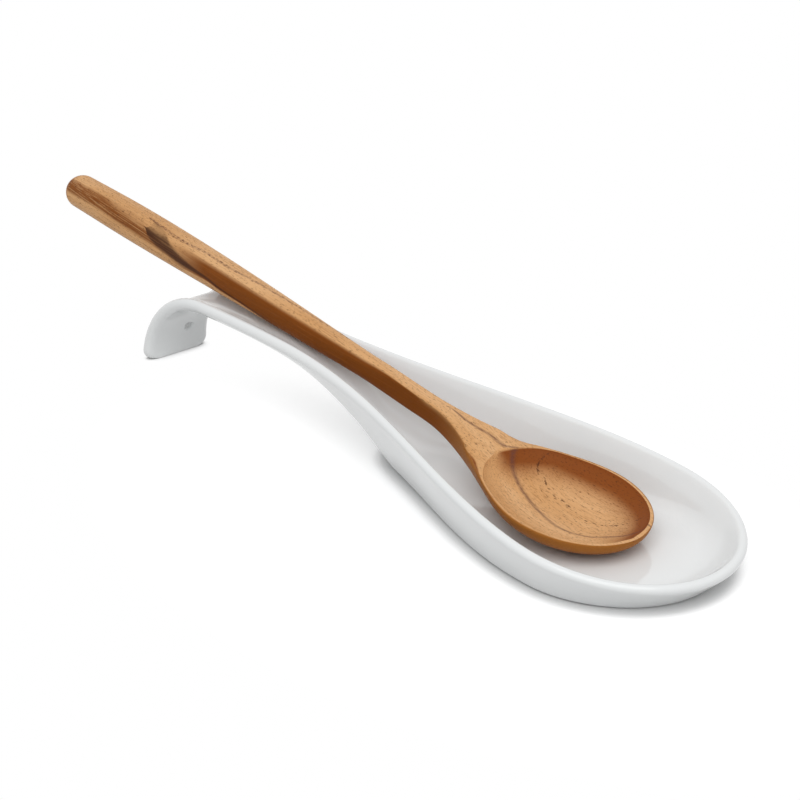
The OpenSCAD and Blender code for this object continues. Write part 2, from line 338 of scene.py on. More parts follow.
def shape_by_tree(piece: bpy.types.Object, tree: bpy.types.NodeTree, values: dict[str, object]) -> None:
    """Runs a Geometry Nodes tree on a piece and keeps the result as its plain mesh, facing outwards.

    Args:
        piece: the object.
        tree: the tree.
        values: what its inputs are set to, by name.
    """
    modifier = piece.modifiers.new(tree.name, "NODES")
    modifier.node_group = tree
    for item in tree.interface.items_tree:
        if item.in_out == "INPUT" and item.name in values:
            modifier[item.identifier] = values[item.name]
    depsgraph = bpy.context.evaluated_depsgraph_get()
    mesh = bpy.data.meshes.new_from_object(piece.evaluated_get(depsgraph), depsgraph=depsgraph)
    piece.modifiers.remove(modifier)
    piece.data = mesh
    work = bmesh.new()
    work.from_mesh(mesh)
    bmesh.ops.recalc_face_normals(work, faces=work.faces[:])
    work.to_mesh(mesh)
    work.free()


def settle_piece(piece: bpy.types.Object, name: Piece) -> None:
    """Puts a finished piece on its body, in place of its node.

    Args:
        piece: the object.
        name: the body, which has the node's name too.
    """
    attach(piece, name.value)
    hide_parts(name.value)
    log.info("%s: %d faces", piece.name, len(piece.data.polygons))


def streaked_noise_group() -> bpy.types.NodeTree:
    """The node group of noise that is drawn out along X, which the glaze, the wood and the table share.

    Returns:
        The group, made on the first call.
    """
    name = "streaked_noise"
    if name in bpy.data.node_groups:
        return bpy.data.node_groups[name]
    tree = bpy.data.node_groups.new(name, "ShaderNodeTree")
    bench = Bench(tree)
    inputs = {"Place": Socket.VECTOR, **dict.fromkeys(("Length", "Width", "Detail", "Shift"), Socket.NUMBER)}
    given = input_sockets(tree, inputs, {"Value": Socket.NUMBER})
    x, y, z = bench.parts(given["Place"])
    place = bench.vector(x / given["Length"] + given["Shift"], y / given["Width"], z / given["Width"])
    noise = bench.get("ShaderNodeTexNoise", {"Vector": place, "Scale": 1.0, "Detail": given["Detail"]})
    bench.node("NodeGroupOutput", {"Value": noise})
    return tree


def growth_sheet_group() -> bpy.types.NodeTree:
    """The node group of one dark sheet in the wood, with ragged edges and gaps, which also lays the band of
    painted shade at the butt.

    Returns:
        The group, made on the first call.
    """
    name = "growth_sheet"
    if name in bpy.data.node_groups:
        return bpy.data.node_groups[name]
    tree = bpy.data.node_groups.new(name, "ShaderNodeTree")
    bench = Bench(tree)
    inputs = dict.fromkeys(("Depth", "Middle", "Half Width", "Firm", "Ragged", "Break"), Socket.NUMBER)
    given = input_sockets(tree, inputs, {"Mask": Socket.NUMBER})
    away = size_of(given["Depth"] - given["Middle"]) / given["Half Width"]
    mask = ease((1.0 - away) * given["Firm"]) * mix(1.0, given["Ragged"], given["Break"])
    bench.node("NodeGroupOutput", {"Mask": unit(mask)})
    return tree


@dataclass(frozen=True)
class Ramp:
    """A mask that rises smoothly from 0 at its start to its share where it is whole."""

    start: float
    whole: float
    share: float = 1.0

    def of(self, value: Value) -> Value:
        """The mask of a value."""
        return span(value, self.start, self.whole) * self.share


@dataclass(frozen=True)
class Streaks:
    """Noise drawn out along X: its size along and across in millimetres, its finer layers and its shift."""

    length: float
    width: float
    detail: float
    shift: float

    def lay(self, bench: Bench, place: Field) -> Field:
        """Places the streaked_noise group in a material.

        Args:
            bench: the material's tree.
            place: where on the surface, in millimetres.

        Returns:
            Noise from 0 to 1.
        """
        return bench.get("ShaderNodeGroup", {
            "Place": place, "Length": self.length, "Width": self.width, "Detail": self.detail,
            "Shift": self.shift}, node_tree=streaked_noise_group())


@dataclass(frozen=True)
class Glaze:
    """Clear gloss glaze over white porcelain, bare on the sole where it stood in the kiln. Millimetres."""

    body: Triple = (0.868, 0.880, 0.880)
    pooled: Triple = (0.845, 0.862, 0.864)
    bare: Triple = (0.70, 0.68, 0.63)
    gloss: float = 0.06
    dulled: float = 0.13
    bare_rough: float = 0.75
    ior: float = 1.5
    cloud: Streaks = Streaks(45.0, 45.0, 3.0, 2.0)
    ripple: Streaks = Streaks(14.0, 14.0, 2.0, 7.0)
    pool: Ramp = Ramp(0.35, 0.65)
    dull: Ramp = Ramp(0.3, 0.8)
    ripple_h: float = 0.02
    bare_z: float = 0.12

    def build(self) -> bpy.types.Material:
        """Makes the material.

        Returns:
            The material.
        """
        material = bpy.data.materials.new("white_glaze")
        material.use_nodes = True
        bench = Bench(material.node_tree)
        place = bench.place()
        cloud = self.cloud.lay(bench, place)
        bare = above(self.bare_z, bench.parts(place)[2])
        colour = bench.tint(bare, bench.tint(self.pool.of(cloud), self.body, self.pooled), self.bare)
        rough = mix(mix(self.gloss, self.dulled, self.dull.of(cloud)), self.bare_rough, bare)
        bump = bench.get("ShaderNodeBump", {
            "Height": self.ripple.lay(bench, place), "Strength": 1.0, "Distance": self.ripple_h * MM})
        shader = bench.get("ShaderNodeBsdfPrincipled", {
            "Base Color": colour, "Roughness": rough, "IOR": self.ior, "Normal": bump})
        bench.node("ShaderNodeOutputMaterial", {"Surface": shader})
        return material


class Breaks(Enum):
    """What breaks a dark sheet of the wood up, with the noise where it starts and where it is whole."""

    FIBRES = (0.34, 0.56)
    DASHES = (0.52, 0.62)
    LAYERS = (0.38, 0.56)
    SPECKS = (0.46, 0.62)


def run(bench: Bench, knots: Knots, column: int, along: Field) -> Field:
    """Runs one column of some knots along the spoon.

    Args:
        bench: the material's tree.
        knots: the knots from the butt to the tip, each with its place along the spoon first.
        column: which of their values.
        along: place along the spoon.

    Returns:
        The value along the spoon.
    """
    reach = 32.0
    start, length = knots[0][0], knots[-1][0] - knots[0][0]
    curve = bench.node("ShaderNodeFloatCurve", {"Factor": 1.0, "Value": (along - start) / length})
    line = curve.mapping.curves[0]
    while len(line.points) < len(knots):
        line.points.new(MIDDLE, MIDDLE)
    for point, knot in zip(line.points, knots):
        point.location = ((knot[0] - start) / length, knot[column] / reach + MIDDLE)
    curve.mapping.update()
    return (Field(curve.outputs[0]) - MIDDLE) * reach


@dataclass(frozen=True)
class Sheet:
    """A dark sheet of the wood's growth; butt_shade is a band of painted shade laid the same way.

    Its knots are places along the spoon, places across the grain or across the spoon, and half widths.
    It stops at its limit across the spoon, given for places along it.
    """

    knots: Knots
    colour: Triple
    strength: float
    broken: float
    breaks: Breaks = Breaks.FIBRES
    firm: float = 1.0
    limit: Knots = ((-285, 15.0), (32, 15.0))
    by_width: bool = False
    top_only: bool = False
    thinnest: float = 0.01
    limit_run: float = 1.0

    def mask(self, bench: Bench, along: Field, across: Field, depth: Field, ragged: Field) -> Field:
        """Places the growth_sheet group for the sheet.

        Args:
            bench: the material's tree.
            along: place along the spoon.
            across: place across the spoon.
            depth: depth across the layers, or across the spoon.
            ragged: what breaks the sheet up.

        Returns:
            The mask of the sheet.
        """
        middle, half_w = (run(bench, self.knots, column, along) for column in (1, 2))
        mask = bench.get("ShaderNodeGroup", {
            "Depth": depth, "Middle": middle, "Half Width": most(half_w, self.thinnest), "Firm": self.firm,
            "Ragged": ragged, "Break": self.broken}, node_tree=growth_sheet_group())
        past = across - run(bench, self.limit, 1, along)
        return mask * (1.0 - span(past, -self.limit_run, 0.0)) * self.strength


@dataclass(frozen=True)
class OiledWood:
    """Oiled straight-grained hardwood, with layers that lie aslant across the spoon. Its sides, steep slopes,
    hollow walls and underside carry painted shade. Millimetres.
    """

    pale: Triple = (0.80, 0.475, 0.235)
    warm: Triple = (0.66, 0.34, 0.132)
    # deep: the dark of the fibres, and also the painted shade on the underside
    deep: Triple = (0.26, 0.085, 0.018)
    # colours of the sides: partly the wood's own darker tone, partly painted shade
    side: Triple = (0.21, 0.058, 0.007)
    bowl_side: Triple = (0.37, 0.138, 0.027)
    # painted shade of the hollow's steep walls, standing in for light that falls from behind
    painted_wall_shade: Triple = (0.255, 0.072, 0.016)
    end: Triple = (0.33, 0.105, 0.024)
    pore: Triple = (0.10, 0.032, 0.012)
    layer_tilt: float = 27.0
    layer_step: float = 3.2
    wave: Streaks = Streaks(70.0, 9.0, 2.0, 3.0)
    fibre: Streaks = Streaks(22.0, 0.4, 4.0, 11.0)
    tone: Streaks = Streaks(60.0, 12.0, 3.0, 17.0)
    pores: Streaks = Streaks(1.6, 0.26, 1.0, 27.0)
    dash: Streaks = Streaks(2.2, 0.6, 1.0, 31.0)
    layer: Streaks = Streaks(24.0, 0.38, 3.0, 53.0)
    wave_h: float = 3.4
    sheet_wave_h: float = 0.5
    wall_wave: float = 0.04
    toned: Ramp = Ramp(0.3, 0.75, 0.8)
    late: Ramp = Ramp(0.25, 0.92, 0.25)
    late_stop: Ramp = Ramp(0.93, 1.0)
    pored: Ramp = Ramp(0.61, 0.70)
    edge_round: tuple[float, float] = (0.62, 0.88)
    edge_flat: tuple[float, float] = (0.955, 0.995)
    flat: Ramp = Ramp(-100.0, -62.0)
    # where the sides' painted shade starts along the handle
    sided: Ramp = Ramp(-215.0, -185.0)
    past_flame: Ramp = Ramp(0.0, 0.7)
    streak: Ramp = Ramp(0.5, 0.75, 0.5)
    bowl: Ramp = Ramp(-62.0, -36.0)
    end_grain: Ramp = Ramp(0.10, 0.42, 0.5)
    turned: Ramp = Ramp(-0.08, 0.22)
    wall: Ramp = Ramp(0.004, 0.13)
    lip: Ramp = Ramp(0.05, 0.6)
    level: Ramp = Ramp(0.35, 0.65)
    # painted shade on the sloping faces of the bowl's top
    steep_shade: Ramp = Ramp(0.01, 0.12, 0.6)
    # painted shade on faces that turn downwards
    under: Ramp = Ramp(0.50, 0.85, 0.8)
    fibre_dark: Ramp = Ramp(0.45, 0.8, 0.45)
    fibre_dry: Ramp = Ramp(0.35, 0.75, 0.7)
    pore_dark: float = 0.7
    pore_dry: float = 0.3
    side_pores: float = 0.2
    smooth: float = 0.36
    dry: float = 0.56
    fibre_h: float = 0.05
    fibre_rise: float = 0.5
    relief: float = 0.6
    ior: float = 1.45
    specular: float = 0.05
    flame: Sheet = Sheet((
        (-285, -9.0, 0.0), (-240, -5.0, 0.0), (-227, -4.2, 0.0), (-224.5, -4.0, 0.7), (-222.5, -3.6, 1.4),
        (-220, -3.3, 2.0), (-216.5, -3.0, 2.5), (-211.6, -2.8, 2.9), (-206, -2.0, 2.5), (-200.4, -1.4, 2.0),
        (-192.9, -1.2, 1.1), (-184.8, -1.1, 0.65), (-176.9, -0.3, 0.5), (-165, 0.1, 0.42), (-155, 0.9, 0.42),
        (-145, 2.4, 0.4), (-130, 8.0, 0.2), (32, 15.0, 0.0),
    ), (0.060, 0.022, 0.011), 0.92, 0.25, Breaks.LAYERS, 1.6, limit=(
        (-285, -1.2), (-226, -1.2), (-215.4, -3.0), (-206, -5.2), (-196, -3.0), (-180, 2.0), (32, 15.0)))
    # painted shade: a brown band along the near side of the butt, laid along the layers
    butt_shade: Sheet = Sheet((
        (-285, -1.2, 1.9), (-276, -1.6, 2.2), (-267, -1.9, 2.2), (-258, -2.4, 2.2), (-244, -2.4, 2.4),
        (-231, -2.6, 2.4), (-222, -2.4, 2.4), (-212, -2.0, 2.0), (-200, -1.6, 1.2), (-190, -1.6, 0.0),
        (32, -1.6, 0.0),
    ), (0.23, 0.066, 0.010), 0.95, 0.45, firm=1.4, limit=((-285, -3.0), (32, -3.0)))
    lines: tuple[Sheet, ...] = (
        Sheet((
            (-285, -1.0, 0.0), (-232, -1.4, 0.0), (-225, -1.7, 0.7), (-215, -2.4, 0.9), (-206, -2.7, 0.9),
            (-199, -2.2, 0.9), (-192, -1.5, 0.9), (-179, -1.6, 0.9), (-169, -0.8, 0.8), (-161, -0.1, 0.8),
            (-150, 0.6, 0.7), (-137, 1.2, 0.6), (-120, 1.6, 0.5), (-105, 2.0, 0.0), (32, 2.0, 0.0),
        ), (0.12, 0.040, 0.030), 0.8, 0.8, Breaks.SPECKS, 1.6, by_width=True),
        Sheet((
            (-285, -2.6, 0.0), (-58, -2.5, 0.0), (-53, -2.45, 0.35), (-48.3, -2.32, 0.45), (-43, -1.54, 0.5),
            (-37.6, -0.5, 0.5), (-31.2, 0.31, 0.55), (-28.3, 1.95, 0.65), (-26.4, 2.7, 0.75),
            (-23.2, 3.22, 0.75), (-17.4, 3.79, 0.7), (-7.5, 3.73, 0.65), (1.8, 3.08, 0.6), (9.4, 2.53, 0.6),
            (16.5, 2.98, 0.55), (21.5, 4.12, 0.5), (32, 4.6, 0.4),
        ), (0.13, 0.055, 0.045), 0.7, 0.5, top_only=True),
        Sheet((
            (-285, 15.0, 0.2), (-60, 9.0, 0.2), (-21, 7.0, 0.2), (-16, 7.9, 0.22), (-9, 8.1, 0.25),
            (-4, 8.6, 0.27), (3, 8.3, 0.27), (10, 7.6, 0.26), (16, 7.7, 0.25), (22, 8.1, 0.25),
            (32, 7.8, 0.25),
        ), (0.085, 0.030, 0.014), 0.9, 1.0, Breaks.DASHES, top_only=True),
    )

    def build(self, spoon: "CarvedSpoon") -> bpy.types.Material:
        """Makes the material.

        Args:
            spoon: the spoon, whose own axes the grain follows.

        Returns:
            The material.
        """
        material = bpy.data.materials.new("oiled_wood")
        material.use_nodes = True
        bench = Bench(material.node_tree)
        place = bench.place(spoon.seat, spoon.turn)
        along, across, up = bench.parts(place)
        tilt = math.radians(self.layer_tilt)
        depth = across * math.sin(tilt) - up * math.cos(tilt)
        wave = self.wave.lay(bench, place) - MIDDLE
        fibre, tone, pores, dash = (
            noise.lay(bench, place) for noise in (self.fibre, self.tone, self.pores, self.dash))
        layer = self.layer.lay(bench, bench.vector(along, depth, 0.0))
        ragged = {kind: span(noise, *kind.value) for kind, noise in zip(Breaks, (fibre, dash, layer, pores))}
        wavy = depth + wave * self.sheet_wave_h
        ring = bench.get("ShaderNodeMath", {
            0: (depth + wave * self.wave_h) / self.layer_step}, operation="FRACT")
        pore = self.pored.of(pores)
        edge = bench.get("ShaderNodeAttribute", out="Fac", attribute_name=EDGE)
        flat = self.flat.of(along)
        start, whole = (mix(a, b, flat) for a, b in zip(self.edge_round, self.edge_flat))
        side = ease((edge - start) / (whole - start))
        middle, half_w = (run(bench, self.flame.knots, column, along) for column in (1, 2))
        # the sides are painted darker than the top, partly painted shade and partly the wood's own tone; it
        # stops past the flame's edge across the layers
        side_tone_and_shade = side * self.sided.of(along) * (1.0 - self.past_flame.of(wavy - middle - half_w))
        facing = bench.get("ShaderNodeTexCoord", out="Normal")
        ahead, aside, upward = (
            bench.get("ShaderNodeVectorMath", {0: facing, 1: axis}, out="Value", operation="DOT_PRODUCT")
            for axis in spoon.axes())
        # where the hollow's walls get painted shade: inside the lip, off the sides, and not on the wall that
        # faces the far side
        hollow = (1.0 - self.lip.of(up)) * (1.0 - side) * flat * (1.0 - self.turned.of(aside))
        colour = bench.tint(self.toned.of(tone), self.pale, self.warm)
        for share, shade in (
            (self.late.of(ring) * (1.0 - self.late_stop.of(ring)), self.warm),
            # painted shade: the bowl's top is tinted towards the warm colour as it steepens
            (self.steep_shade.of(1.0 - upward) * flat, self.warm),
            # painted shade with some of the wood's own tone on the sides
            (side_tone_and_shade, bench.tint(self.bowl.of(along), self.side, self.bowl_side)),
            (side_tone_and_shade * self.streak.of(layer), self.end),
            (self.end_grain.of(size_of(ahead)) * (1.0 - flat), self.end),
            # painted shade: the hollow's walls darken as they steepen
            (self.wall.of(1.0 - upward + wave * self.wall_wave) * hollow, self.painted_wall_shade),
            # painted shade: faces that turn downwards are darkened
            (self.under.of(-upward), self.deep),
            (self.fibre_dark.of(fibre), self.deep),
        ):
            colour = bench.tint(share, colour, shade)
        # butt_shade is painted shade; the flame and the lines are the wood's own figure
        for sheet in (self.butt_shade, self.flame, *self.lines):
            spot = across + wave * self.sheet_wave_h if sheet.by_width else wavy
            mask = sheet.mask(bench, along, across, spot, ragged[sheet.breaks])
            if sheet.top_only:
                mask = mask * (1.0 - side) * self.level.of(upward)
            colour = bench.tint(mask, colour, sheet.colour)
        colour = bench.tint(pore * mix(1.0, self.side_pores, side_tone_and_shade) * self.pore_dark, colour, self.pore)
        rough = mix(self.smooth, self.dry, self.fibre_dry.of(fibre) + pore * self.pore_dry)
        bump = bench.get("ShaderNodeBump", {
            "Height": fibre * self.fibre_rise - pore, "Strength": self.relief, "Distance": self.fibre_h * MM})
        shader = bench.get("ShaderNodeBsdfPrincipled", {
            "Base Color": colour, "Roughness": rough, "IOR": self.ior, "Specular IOR Level": self.specular,
            "Normal": bump})
        bench.node("ShaderNodeOutputMaterial", {"Surface": shader})
        return material


def seen_share(bench: Bench) -> Field:
    """1 for what the camera sees, directly or in gloss or glass, and 0 for light that falls on things."""
    path = bench.node("ShaderNodeLightPath")
    seen = [Field(path.outputs[name]) for name in ("Is Camera Ray", "Is Glossy Ray", "Is Transmission Ray")]
    return unit(seen[0] + seen[1] + seen[2])


@dataclass(frozen=True)
class TablePaper:
    """Matt white paper under the object, which runs out to plain white and keeps the shadow, with a painted
    contact shadow near the object. Millimetres.
    """

    paper: Triple = (0.94, 0.94, 0.94)
    shaded: Triple = (0.92, 0.92, 0.92)
    # colour of the painted contact shadow
    contact_shadow_colour: Triple = (0.80, 0.80, 0.80)
    bounce: Triple = (0.68, 0.68, 0.68)
    grain: Streaks = Streaks(3.0, 3.0, 2.0, 5.0)
    contact_shadow_reach: float = 7.0
    contact_shadow_ramp: Ramp = Ramp(0.30, 0.85)
    veil: float = 0.32
    white: Ramp = Ramp(95.0, 175.0)
    broad: float = 1.7
    middle: tuple[float, float] = (-32.0, -22.0)

    def build(self) -> bpy.types.Material:
        """Makes the material.

        Returns:
            The material.
        """
        material = bpy.data.materials.new("table_paper")
        material.use_nodes = True
        bench = Bench(material.node_tree)
        place = bench.place()
        seen = seen_share(bench)
        # painted contact shadow: ambient occlusion darkens the paper near the object and holds back its veil
        # and its run-out to white
        free = bench.get("ShaderNodeAmbientOcclusion", {"Distance": self.contact_shadow_reach * MM}, out="AO")
        clear = self.contact_shadow_ramp.of(free)
        sheet = bench.tint(self.grain.lay(bench, place), self.paper, self.shaded)
        sheet = bench.tint(seen, self.bounce, bench.tint(clear, self.contact_shadow_colour, sheet))
        matt = bench.get("ShaderNodeBsdfDiffuse", {"Color": sheet})
        veil, white = (
            bench.get("ShaderNodeEmission", {"Color": rgba(WHITE), "Strength": strength})
            for strength in (seen * clear * self.veil, 1.0))
        near = bench.get("ShaderNodeAddShader", {0: matt, 1: veil})
        x, y, _ = bench.parts(place)
        away = root(square(x - self.middle[0]) + square((y - self.middle[1]) * self.broad))
        both = bench.get("ShaderNodeMixShader", {0: self.white.of(away) * seen * clear, 1: near, 2: white})
        bench.node("ShaderNodeOutputMaterial", {"Surface": both})
        return material


@dataclass
class WallSection:
    """Half cross-sections of the rest. Each size is one number, or an array with one for each station.

    Attributes:
        half_w: half width over the rim.
        rim_z: height of the rim.
        sole_z: height of the sole.
        floor_z: height of the floor.
        flare: how far the wall leans out.
        rim_r: radius of the rim.
        basin_r: radius between the floor and the wall.
        sole_r: radius between the sole and the wall.
        level_share: most of a level line that a corner may take.
        wall_share: most of the wall that a corner may take.
        level_steps: steps of a level line.
        corner_steps: steps of a corner.
        rim_steps: steps round the rim.
    """

    half_w: Value
    rim_z: Value
    sole_z: Value
    floor_z: Value
    flare: Value
    rim_r: Value
    basin_r: Value
    sole_r: Value = 0.0
    level_share: float = 0.96
    wall_share: float = 0.9
    level_steps: int = 4
    corner_steps: int = 7
    rim_steps: int = 9

    def __post_init__(self) -> None:
        """Gives each station its own sizes and finds the lean of the wall."""
        names = [item.name for item in fields(self) if item.type is Value]
        sizes = np.broadcast_arrays(*np.atleast_1d(*(getattr(self, name) for name in names)))
        for name, size in zip(names, sizes):
            setattr(self, name, size)
        self.lean = np.arctan2(self.rim_z - self.sole_z, self.flare)

    def fit(self, face: Face, level: np.ndarray, r: np.ndarray) -> tuple[np.ndarray, np.ndarray]:
        """Fits a face of the wall to the level line that it rises from.

        Args:
            face: the face.
            level: height of the level line.
            r: radius of the corner between the two.

        Returns:
            Where the face would meet the level line, and how far the corner reaches.
        """
        y = self.half_w - self.rim_r + face.value * self.rim_r * np.sin(self.lean)
        rise = self.rim_z - self.rim_r - face.value * self.rim_r * np.cos(self.lean) - level
        foot = y - rise / np.tan(self.lean)
        reach = least(least(r * np.tan(self.lean / 2), foot * self.level_share),
                      rise / np.sin(self.lean) * self.wall_share)
        return foot, reach

    def level_and_corner(self, face: Face, level: np.ndarray, r: np.ndarray) -> tuple[np.ndarray, np.ndarray]:
        """Points of a level line from the middle plane, and of the corner that takes it up to the wall.

        Args:
            face: the face of the wall.
            level: height of the level line.
            r: radius of the corner.

        Returns:
            Places across and up, a row for each station.
        """
        foot, reach = self.fit(face, level, r)
        run_in = np.linspace(0, 1, self.level_steps, endpoint=False)
        turn = self.lean[:, None] * np.linspace(0, 1, self.corner_steps + 1)
        fitted = (reach / np.tan(self.lean / 2))[:, None]
        start = (foot - reach)[:, None]
        across = np.hstack([start * run_in, start + fitted * np.sin(turn)])
        up = np.hstack([0.0 * start * run_in, fitted * (1 - np.cos(turn))])
        return across, up + level[:, None]

    def points(self) -> tuple[np.ndarray, np.ndarray]:
        """Points from the middle of the sole, out round the rim, to the middle of the floor.

        Returns:
            Places across and up, a row for each station.
        """
        turn = self.lean[:, None] - QUARTER + math.pi * np.linspace(0, 1, self.rim_steps + 1)
        rim = self.rim_r[:, None]
        sole_y, sole_z = self.level_and_corner(Face.OUTER, self.sole_z, self.sole_r)
        floor_y, floor_z = self.level_and_corner(Face.INNER, self.floor_z, self.basin_r)
        rim_y = self.half_w[:, None] - rim + rim * np.cos(turn)
        rim_z = self.rim_z[:, None] - rim + rim * np.sin(turn)
        return np.hstack([sole_y, rim_y, floor_y[:, ::-1]]), np.hstack([sole_z, rim_z, floor_z[:, ::-1]])


@dataclass
class PorcelainRest:
    """The rest: a teardrop basin whose rim rises to a troughed handle that bends down to a foot."""

    length: float
    basin_w: float
    nose_l: float
    rim_h: float
    hole_at: Vector
    hole_axis: Vector
    hole_d: float
    taper_l: float = 149 * MM
    grip_w: float = 25.8 * MM
    crest_w: float = 22.6 * MM
    foot_w: float = 29.6 * MM
    foot_corner_r: float = 4.2 * MM
    tip_h: float = 10.3 * MM
    level_l: float = 13 * MM
    trough_d: float = 3.8 * MM
    foot_d: float = 0.9 * MM
    climb_from: float = 86 * MM
    climb_to: float = 174 * MM
    floor_t: float = 3.6 * MM
    wall_t: float = 3.5 * MM
    grip_wall_t: float = 4.2 * MM
    flare: float = 7.5 * MM
    nose_flare: float = 11 * MM
    neck_flare: float = 12 * MM
    sole_r: float = 3 * MM
    basin_r: float = 7 * MM
    nose_basin_r: float = 18 * MM
    trough_r: float = 13 * MM
    hole_edge_r: float = 0.35 * MM
    seam: float = 0.01 * MM
    lean_share: float = 0.7
    climb_start: float = 1.5
    climb_end: float = 2.9
    rim_sweep: float = 1.05
    taper_bias: float = 0.88
    foot_spread: float = 0.9
    run_out: float = math.radians(32)
    nose_steps: int = 48
    back_steps: int = 84
    bend_steps: int = 24
    foot_steps: int = 6
    hole_sides: int = 64
    hole_rings: int = 60

    @classmethod
    def from_frame(cls) -> "PorcelainRest":
        """Takes the main sizes and the hanging hole from the frame.

        Returns:
            The rest.
        """
        low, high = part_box(Piece.REST.value)
        hole = next(mount for mount in frame["record"]["mounts"] if mount["name"] == "hang_hole")
        return cls(
            length=high.x - low.x, basin_w=high.y - low.y, nose_l=high.x, rim_h=high.z,
            hole_at=Vector(hole["pos_m"]), hole_axis=Vector(hole["axis"]),
            hole_d=2 * hole["dims"]["r_mm"] * MM)

    def __post_init__(self) -> None:
        """Works out the sizes that follow from the others."""
        self.bend_x = self.length - self.nose_l - self.rim_h
        self.crest_floor = self.rim_h - self.trough_d
        self.lean_from = self.taper_l / 12
        self.lean_to = self.taper_l * 2 / 3
        self.sole_from = self.taper_l / 4
        self.sole_to = self.taper_l * 5 / 6
        self.basin_from = self.taper_l * 2 / 5
        self.waist_from = self.taper_l * 4 / 5
        self.neck_sole_r = self.trough_r * 4 / 5

    def floor_z(self, x: Value) -> Value:
        """Height of the floor on the middle plane."""
        q = unit((-self.climb_from - x) / (self.climb_to - self.climb_from))
        climb = 1 - power(1 - power(q, self.climb_start), self.climb_end)
        return mix(self.floor_t, self.crest_floor, climb)

    def sole_z(self, x: Value) -> Value:
        """Height of the sole under the floor, square to its slope."""
        step = MM / 2
        slope = (self.floor_z(x - step) - self.floor_z(x + step)) / (2 * step)
        return most(0.0, self.floor_z(x) - self.floor_t * root(1 + square(slope)))

    def rim_z(self, x: Value) -> Value:
        """Height of the rim, which rises in one sweep from the tip to the bend."""
        q = unit((self.nose_l - x) / (self.nose_l + self.bend_x - self.level_l))
        return mix(self.tip_h, self.rim_h, power(sine(QUARTER * q), self.rim_sweep))

    def half_at(self, x: Value) -> Value:
        """Half width over the rim, behind the widest place."""
        q = least(1.0, power(-x / self.taper_l, self.taper_bias))
        taper = mix(self.grip_w / 2, self.basin_w / 2, (1 + cosine(math.pi * q)) / 2)
        return mix(taper, self.crest_w / 2, span(-x, self.waist_from, self.bend_x))

    def flare_at(self, x: Value) -> Value:
        """How far the wall leans out, behind the widest place."""
        return least(mix(self.flare, self.neck_flare, span(-x, self.lean_from, self.lean_to)),
                     self.half_at(x) * self.lean_share)

    def section_at(self, x: np.ndarray) -> WallSection:
        """The sections at places along the rest, at or behind the widest place."""
        narrow = span(-x, self.basin_from, self.taper_l)
        return WallSection(
            half_w=self.half_at(x), rim_z=self.rim_z(x), sole_z=self.sole_z(x), floor_z=self.floor_z(x),
            flare=self.flare_at(x), rim_r=mix(self.wall_t, self.grip_wall_t, narrow) / 2,
            basin_r=mix(self.basin_r, self.trough_r, narrow),
            sole_r=mix(self.sole_r, self.neck_sole_r, span(-x, self.sole_from, self.sole_to)))

    def foot_half(self, turn: np.ndarray) -> np.ndarray:
        """Half width round the bend, with the corners of the foot rounded."""
        up = (QUARTER - turn) * self.rim_h
        corner = self.foot_corner_r
        cut = corner - np.sqrt(corner ** 2 - np.maximum(0, corner - up) ** 2)
        return mix(self.crest_w / 2, self.foot_w / 2, (turn / QUARTER) ** self.foot_spread) - cut

    def bend_points(self) -> np.ndarray:
        """Points of the half round the bend, from the foot to the crest."""
        corner = self.foot_corner_r / self.rim_h
        rounding = QUARTER - corner * (1 - np.cos(np.linspace(0, QUARTER, self.foot_steps + 1)))
        sweep = (QUARTER - corner) * (1 - np.linspace(0, 1, self.bend_steps + 1)[1:])
        turn = np.concatenate([rounding, sweep])
        floor = self.rim_h - mix(self.trough_d, self.foot_d, span(turn, 0.0, self.run_out))
        across, up = WallSection(
            half_w=self.foot_half(turn), rim_z=self.rim_h, sole_z=floor - self.floor_t, floor_z=floor,
            flare=self.flare_at(-self.bend_x), rim_r=self.grip_wall_t / 2, basin_r=self.trough_r,
            sole_r=self.neck_sole_r).points()
        back, up = -self.bend_x - up * np.sin(turn)[:, None], up * np.cos(turn)[:, None]
        return np.stack([back, across, up], axis=-1)

    def back_points(self) -> np.ndarray:
        """Points of the half along the handle and basin, from the crest to the widest place."""
        x = -self.bend_x * (1 - np.linspace(0, 1, self.back_steps + 1)[1:])
        across, up = self.section_at(x).points()
        return np.stack([np.broadcast_to(x[:, None], up.shape), across, up], axis=-1)

    def nose_points(self) -> np.ndarray:
        """Points round the nose, as half sections that turn about the widest place."""
        turn = QUARTER - math.pi * np.linspace(0, 1, self.nose_steps + 1)[1:-1]
        out_r = 1 / np.hypot(np.cos(turn) / self.nose_l, np.sin(turn) / (self.basin_w / 2))
        ahead = np.cos(turn) ** 2
        out, up = WallSection(
            half_w=out_r, rim_z=self.rim_z(out_r * np.cos(turn)), sole_z=0.0, floor_z=self.floor_t,
            flare=mix(self.flare, self.nose_flare, ahead), rim_r=self.wall_t / 2,
            basin_r=mix(self.basin_r, self.nose_basin_r, ahead), sole_r=self.sole_r).points()
        return np.stack([out * np.cos(turn)[:, None], out * np.sin(turn)[:, None], up], axis=-1)

    def skin(self) -> tuple[list, list]:
        """The whole surface, still open along the middle plane.

        Returns:
            Its points and its faces.
        """
        left = np.concatenate([self.bend_points(), self.back_points()])
        right = left[::-1] * np.array([1.0, -1.0, 1.0])
        points = np.concatenate([left, self.nose_points(), right])
        stations, ring = points.shape[:2]
        number = np.arange(stations * ring).reshape(stations, ring)
        sides = np.stack([number[:-1, :-1], number[:-1, 1:], number[1:, 1:], number[1:, :-1]], axis=-1)
        faces = sides.reshape(-1, 4).tolist()
        for end in (number[0, ::-1].tolist(), number[-1].tolist()):
            back = end[::-1]
            faces += [[end[j], end[j + 1], back[j + 1], back[j]] for j in range(ring // 2 - 1)]
        return points.reshape(-1, 3).tolist(), faces

